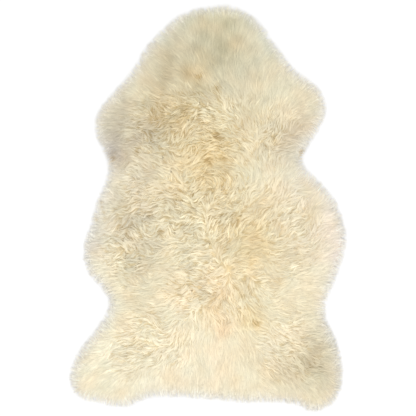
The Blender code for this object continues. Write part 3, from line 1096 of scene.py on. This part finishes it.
# %% Where the locks grow
REGIONS = [  # name, lowest y (m), from lock to lock (m), steps along a strand, strands
    ("wool_neck", 0.295, 0.0092, 5, 4),
    ("wool_shoulders", 0.130, 0.0102, 6, 4),
    ("wool_back", -0.030, 0.0102, 6, 4),
    ("wool_belly", -0.185, 0.0102, 6, 4),
    ("wool_loin", -0.360, 0.0103, 6, 4),
    ("wool_haunches", -1.000, 0.0092, 4, 4),
]
ROW_PITCH = 0.866           # from row to row, over the space between locks
LOCK_SHIFT = 0.42           # how far a lock may be off its place, over that space


def lock_grid(dice, low, high, pitch):
    """Staggered places over a band of the pelt, inside the body of the wool."""
    xs = np.arange(-PELT_WIDTH / 2, PELT_WIDTH / 2, pitch)
    ys = np.arange(max(low, -PELT_LENGTH / 2), min(high, PELT_LENGTH / 2), pitch * ROW_PITCH)
    x, y = np.meshgrid(xs, ys)
    x = x + (np.arange(len(ys)) % 2)[:, None] * pitch / 2
    places = np.column_stack([x.ravel(), y.ravel()])
    places += dice.uniform(-LOCK_SHIFT, LOCK_SHIFT, places.shape) * pitch
    return places[inside_by(places)[0] > LOCK_OVERHANG]


print("regions:", ", ".join(name for name, *_ in REGIONS))

# %% How well they cover
COVER_CELL = 0.003
COVER_CELLS = (240, 340)
COVER_SAMPLES = 3           # along each step of a strand


def cover_index(spots):
    """The cell of the grid of cover that each spot lies in."""
    index = ((spots / COVER_CELL) + np.array(COVER_CELLS) / 2).astype(int)
    return index[..., 0], index[..., 1]


def strand_cover(path, widths):
    """How many times over the strands cover each cell of a grid over the pelt."""
    start, stride = path[:, :-1], np.diff(path, axis=1)
    area = np.linalg.norm(stride, axis=2) * widths[:, None] / COVER_SAMPLES
    cells = np.zeros(COVER_CELLS)
    for sample in range(COVER_SAMPLES):
        spots = start + stride * (sample + 0.5) / COVER_SAMPLES
        np.add.at(cells, cover_index(spots), area / COVER_CELL ** 2)
    return cells


# %% Grow the pile
PILE_SEED = 5
LOCK_LENGTH = (0.034, 0.046)
CURL_SHORTENS = 0.18        # how much shorter a curly lock is,
PARTING_SHORTENS = 0.3      # and one in a parting
THINNING = 0.50             # share of the locks that are missing in a full parting
TOUSLE = (14, 34)           # degrees that whole patches lie another way: smooth, curly
TOUSLE_SIZE = 0.040
TIP_LOW = -0.0002           # the lowest tip, from the pile's surface,
TIP_HIGH = (0.0002, 0.0040)     # and the highest: smooth, curly
PARTING_SINK = 0.003        # how much lower tips lie in a parting
TUFT_SHARE = 0.65           # of a lock's tone is its tuft's, and the rest its own
OWN_TONES = (0.5, 1.0)      # how much of that it shows: smooth, curly
CORE_WIDTH = (0.0034, 0.0050)
LOOSE_WIDTH = (0.0011, 0.0020)
CORE_FLAT = 0.12            # height of a strand over its width
LOOSE_FLAT = (0.30, 0.50)


def grow_region(dice, name, low, high, pitch, steps, strands):
    """The locks of one region, and how well they cover the pelt."""
    mine = lock_grid(dice, low, high, pitch)
    thinned = THINNING * read_map(mine)[:, PARTING] > dice.uniform(0.0, 1.0, len(mine))
    mine = mine[~thinned]
    lie = read_map(mine)
    curl, parting = lie[:, CURL], lie[:, PARTING]
    shorter = 1.0 - CURL_SHORTENS * curl - PARTING_SHORTENS * parting
    length = dice.uniform(*LOCK_LENGTH, len(mine)) * shorter
    tousle = np.radians(between(TOUSLE, curl)) * soft_noise(mine, TOUSLE_SIZE, level=0.7)
    path, lock, loose = walk_locks(dice, mine, length, steps, strands, tousle)
    lift = dice.uniform(TIP_LOW, between(TIP_HIGH, curl)) - PARTING_SINK * parting
    lines = lay_on_pile(dice, path, lock, loose, lift)
    own = (dice.uniform(0.0, 1.0, len(mine)) - 0.5) * between(OWN_TONES, curl)
    tones = TUFT_SHARE * lie[:, TUFT_TONE] + (1.0 - TUFT_SHARE) * (0.5 + own)
    loose_widths = dice.uniform(*LOOSE_WIDTH, len(lock))
    widths = np.where(loose > 0, loose_widths, dice.uniform(*CORE_WIDTH, len(lock)))
    flats = np.where(loose > 0, dice.uniform(*LOOSE_FLAT, len(lock)), CORE_FLAT)
    piece = finish_strands(dice, name, lines, widths, flats, tones[lock])
    return piece, strand_cover(path, widths)


def grow_pile():
    """The locks over the whole pelt, one piece for each region, and their cover."""
    dice = np.random.default_rng(PILE_SEED)
    pieces, cover = [], np.zeros(COVER_CELLS)
    highest = 1.0
    for name, lowest, pitch, steps, strands in REGIONS:
        piece, own_cover = grow_region(dice, name, lowest, highest, pitch, steps, strands)
        pieces.append(piece)
        cover += own_cover
        highest = lowest
    return pieces, cover


pile, cover = grow_pile()
print("cover of the pile:", round(float(np.median(cover[cover > 0])), 2), "times over")

# %% [markdown]
# Where two tufts part, one looks down between the locks. Short, fine wool grows there too,
# close over the under-wool, and with the painted shade of the crease nearly as dark as the
# roots. It would never be seen under the locks, so we plant it only where the grid of their
# cover says that they leave gaps.

# %% Short wool in the creases
CREASE_SEED = 7
CREASE_PITCH = 0.0044       # from one pair of strands to the next
CREASE_COVER = 1.35         # the locks' cover under which short wool shows
CREASE_CURL = 0.15          # and the least curl, as smooth wool has no creases
CREASE_PARTING = 0.80       # the middle of a deep parting stays open
CREASE_LENGTH = (0.016, 0.026)
CREASE_TOUSLE = 14          # degrees
CREASE_STEPS = 3
CREASE_STRANDS = 2
CREASE_SINK = 0.0002        # how deep the roots go into the under-wool
CREASE_RISE = (0.0006, 0.0026)      # from root to tip
CREASE_WIDTHS = (0.0014, 0.0028)
CREASE_FLAT = (0.25, 0.40)


def bare_places(dice):
    """Places in curly wool where the locks leave the under-wool bare."""
    mine = lock_grid(dice, -1.0, 1.0, CREASE_PITCH)
    near = sum(np.roll(cover, shift, axis=(0, 1)) for shift in
               ((0, 0), (1, 0), (-1, 0), (0, 1), (0, -1))) / 5
    bare = near[cover_index(mine)] < CREASE_COVER
    lie = read_map(mine)
    return mine[bare & (lie[:, CURL] > CREASE_CURL) & (lie[:, PARTING] < CREASE_PARTING)]


def grow_creases():
    """Short strands close over the under-wool, where the locks leave it bare."""
    dice = np.random.default_rng(CREASE_SEED)
    mine = bare_places(dice)
    length = dice.uniform(*CREASE_LENGTH, len(mine))
    tousle = dice.normal(0.0, math.radians(CREASE_TOUSLE), len(mine))
    path, lock, _ = walk_locks(dice, mine, length, CREASE_STEPS, CREASE_STRANDS, tousle)
    count, points = path.shape[:2]
    ground = height_over(under.data, np.insert(path.reshape(-1, 2), 2, 0.0, axis=1))
    rise = np.linspace(0.0, 1.0, points)[None] * dice.uniform(*CREASE_RISE, (count, 1))
    lines = lift_path(path, ground.reshape(count, points) - CREASE_SINK + rise)
    widths = dice.uniform(*CREASE_WIDTHS, count)
    flats = dice.uniform(*CREASE_FLAT, count)
    tones = dice.uniform(0.0, 1.0, len(mine))[lock]
    return finish_strands(dice, "wool_creases", lines, widths, flats, tones)


creases = grow_creases()

# %% [markdown]
# The wool at the rim is a separate crown of fine single strands. They start at several
# heights on the wall of the wool and come down over each other to the floor. Their tips end
# unevenly, so the outline is soft.

# %% The ways of the strands at the rim
RIM_TIERS = 4
RIM_STEPS = 4
RIM_START = (LOCK_OVERHANG + 0.004, 0.0038)     # from the outline in to the roots
RIM_SCATTER = 0.002             # of the roots, in and out and up and down
RIM_UNEVEN = 0.006              # how far the tips end before or past the outline
RIM_SLACK = 1.06                # a waved strand's length over the straight way
RIM_SPLAY = 34                  # degrees that whole patches fan to one side,
RIM_SPLAY_SIZE = 0.035
RIM_STRAY = 0.22                # radians that a strand lies off its neighbours
RIM_BEND = 0.5                  # radians that it bends from root to tip
RIM_CRIMP = 45                  # degrees that the waves swing a strand, at most


def each_tier(pair, tier):
    """The lowest tier's value, and what each tier adds to it."""
    return pair[0] + pair[1] * tier


def walk_rim(dice, tier):
    """Flat paths from the wall of the wool out over the outline."""
    count = len(tier)
    at = (np.arange(count) + dice.uniform(-0.5, 0.5, count)) / count * OUTLINE_STEPS
    index = at.astype(int) % OUTLINE_STEPS
    part = (at - np.floor(at))[:, None]
    start = each_tier(RIM_START, tier) + dice.uniform(-RIM_SCATTER, RIM_SCATTER, count)
    edge = outline[index] * (1 - part) + outline[(index + 1) % OUTLINE_STEPS] * part
    spots = edge - outward[index] * start[:, None]
    heading = heading_of(outward[index])
    splay = np.radians(RIM_SPLAY) * soft_noise(edge, RIM_SPLAY_SIZE, level=3.1)
    heading += splay + dice.normal(0.0, RIM_STRAY, count)
    length = (start + dice.uniform(-RIM_UNEVEN, RIM_UNEVEN, count)) * RIM_SLACK
    bend = dice.normal(0.0, RIM_BEND, count)
    path = [spots]
    for step in range(RIM_STEPS):
        angle = heading + bend * ((step + 0.5) / RIM_STEPS - 0.5)
        angle += math.radians(RIM_CRIMP) * soft_noise(spots, CRIMP_SIZE, level=4.4)
        spots = spots + (length / RIM_STEPS)[:, None] * towards(angle)
        path.append(spots)
    return np.stack(path, axis=1)


# %% Grow the crown at the rim
RIM_SEED = 9
RIM_STRANDS = 7400
RIM_ROOT = (0.004, 0.0088)      # height of the roots: of the lowest tier, and more for each
RIM_TIP = (0.0015, 0.0014)      # height of the tips, the same
RIM_TIP_SCATTER = (-0.0005, 0.0015)
RIM_ARCH = 0.003                # how high a strand arches on its way down
RIM_FALLING = 0.9               # below 1, it falls soon and then more slowly
RIM_WIDTH = (0.0008, 0.0016)
RIM_BROADER = (1.8, 0.25)       # the lowest tier's width over that, and less for each tier
RIM_FLAT = (0.4, 0.7)
RIM_LIGHTENED_TONES = (0.30, 1.00)        # painted light: the rim's strands get only the brighter tones, to lift them out of their shade
RIM_ALONG = (0.60, 0.70)        # the tone at a strand's root and at its tip, held near the brightest as painted light
RIM_PALE = (0.20, 0.95)         # painted light: how near to white its root and its tip are, as fibres with light shining through
RIM_DULL = (0.30, 1.00)         # how much of that is left at a tint of 0 and of 1
RIM_FOLD_SHADE = 0.9                # painted shade: how much of both a full fold takes away


def grow_rim():
    """Strands that spill over the rim of the wool, in tiers from the floor up."""
    dice = np.random.default_rng(RIM_SEED)
    count = RIM_STRANDS
    tier = np.arange(count) % RIM_TIERS
    path = walk_rim(dice, tier)
    share = np.linspace(0.0, 1.0, RIM_STEPS + 1)[None]
    root = each_tier(RIM_ROOT, tier[:, None])
    root = root + dice.uniform(-RIM_SCATTER, RIM_SCATTER, (count, 1))
    tip = each_tier(RIM_TIP, tier[:, None]) + dice.uniform(*RIM_TIP_SCATTER, (count, 1))
    height = root + (tip - root) * share ** RIM_FALLING + RIM_ARCH * np.sin(np.pi * share)
    lines = lift_path(path, np.maximum(height, LEAST_HEIGHT))
    widths = dice.uniform(*RIM_WIDTH, count) * (RIM_BROADER[0] - RIM_BROADER[1] * tier)
    flats = dice.uniform(*RIM_FLAT, count)
    tones = dice.uniform(*RIM_LIGHTENED_TONES, count)
    shown = 1.0 - RIM_FOLD_SHADE * read_map(path)[..., PARTING]
    dull = between(RIM_DULL, np.minimum(tint_at(path).mean(axis=-1), 1.0))
    along = between(RIM_ALONG, share) * shown
    pale = between(RIM_PALE, share) * shown * dull
    mesh = strands_mesh("wool_rim", lines, widths, flats, tones, tones, along, pale)
    return add_piece("wool_rim", mesh)


rim = grow_rim()

# %% [markdown]
# ## Riding
#
# The rug is one body, so every piece rides on it. The under-wool stands for the solid pelt,
# whose plain surface is then not shown.

# %% Tell the frame which body each piece rides on
wool_pieces = [under, *pile, creases, rim]
for piece in (hide, *wool_pieces):
    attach(piece, "root")
for piece in wool_pieces:
    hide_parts("sheepskin")
print("pieces:", len(wool_pieces) + 1)

# %% [markdown]
# ## Floor, light and camera
#
# The rug is shown from straight above, on a white ground with hardly a shadow, in light that
# reaches deep between the locks. A large soft lamp close to the line of sight does that:
# whatever the camera sees, the lamp sees too. A white world fills in the rest. The camera
# stands far off, so that the outline keeps its proportions.

# %% Floor
FLOOR_REACH = 6.0           # from the rug to the edge of the floor
FLOOR_DROP = 0.0005         # just under the rug, so that the two faces don't flicker
FLOOR_WHITE = (0.93, 0.93, 0.93)


def make_floor():
    bm = bmesh.new()
    bmesh.ops.create_grid(bm, x_segments=1, y_segments=1, size=FLOOR_REACH)
    bmesh.ops.translate(bm, verts=bm.verts, vec=(0.0, 0.0, -FLOOR_DROP))
    mesh = mesh_from(bm, "floor")
    material, tree, shader = new_material("pale_floor")
    feed(tree, shader, {"Base Color": FLOOR_WHITE, "Roughness": 0.9})
    mesh.materials.append(material)
    floor = add_object("floor", mesh)


make_floor()
print("floor:", 2 * FLOOR_REACH, "m wide")

# %% Light
LAMP_PLACE = (0.10, -0.30, 3.2)
LAMP_SIZE = 0.7
LAMP_WATTS = 52.0
WORLD_STRENGTH = 0.70
lamp = bpy.data.lights.new("overhead", "AREA")
lamp.shape = "DISK"
lamp.size = LAMP_SIZE
lamp.energy = LAMP_WATTS
overhead = add_object("overhead", lamp)
overhead.location = LAMP_PLACE
overhead.rotation_euler = (-Vector(LAMP_PLACE)).to_track_quat("-Z", "Y").to_euler()

world = bpy.data.worlds.new("studio")
world.use_nodes = True
background = world.node_tree.nodes["Background"]
feed(world.node_tree, background, {"Color": (1.0, 1.0, 1.0), "Strength": WORLD_STRENGTH})
bpy.context.scene.world = world
bpy.context.scene.view_settings.view_transform = "Standard"
print("lamp:", LAMP_WATTS, "W,", LAMP_SIZE, "m across")

# %% Camera
CAMERA_LENS = 85.0          # mm
CAMERA_SENSOR = 36.0        # mm
FRAME_WIDTH = 1.027         # metres across at the height of the wool's middle
WOOL_MIDDLE = 0.01          # that height
CAMERA_SHIFT = 0.001        # towards the neck
camera_data = bpy.data.cameras.new("camera")
camera_data.lens = CAMERA_LENS
camera_data.sensor_width = CAMERA_SENSOR
camera = add_object("camera", camera_data)
camera.location = (0.0, CAMERA_SHIFT, FRAME_WIDTH * CAMERA_LENS / CAMERA_SENSOR + WOOL_MIDDLE)
bpy.context.scene.camera = camera
print("camera:", round(camera.location.z, 3), "m up")
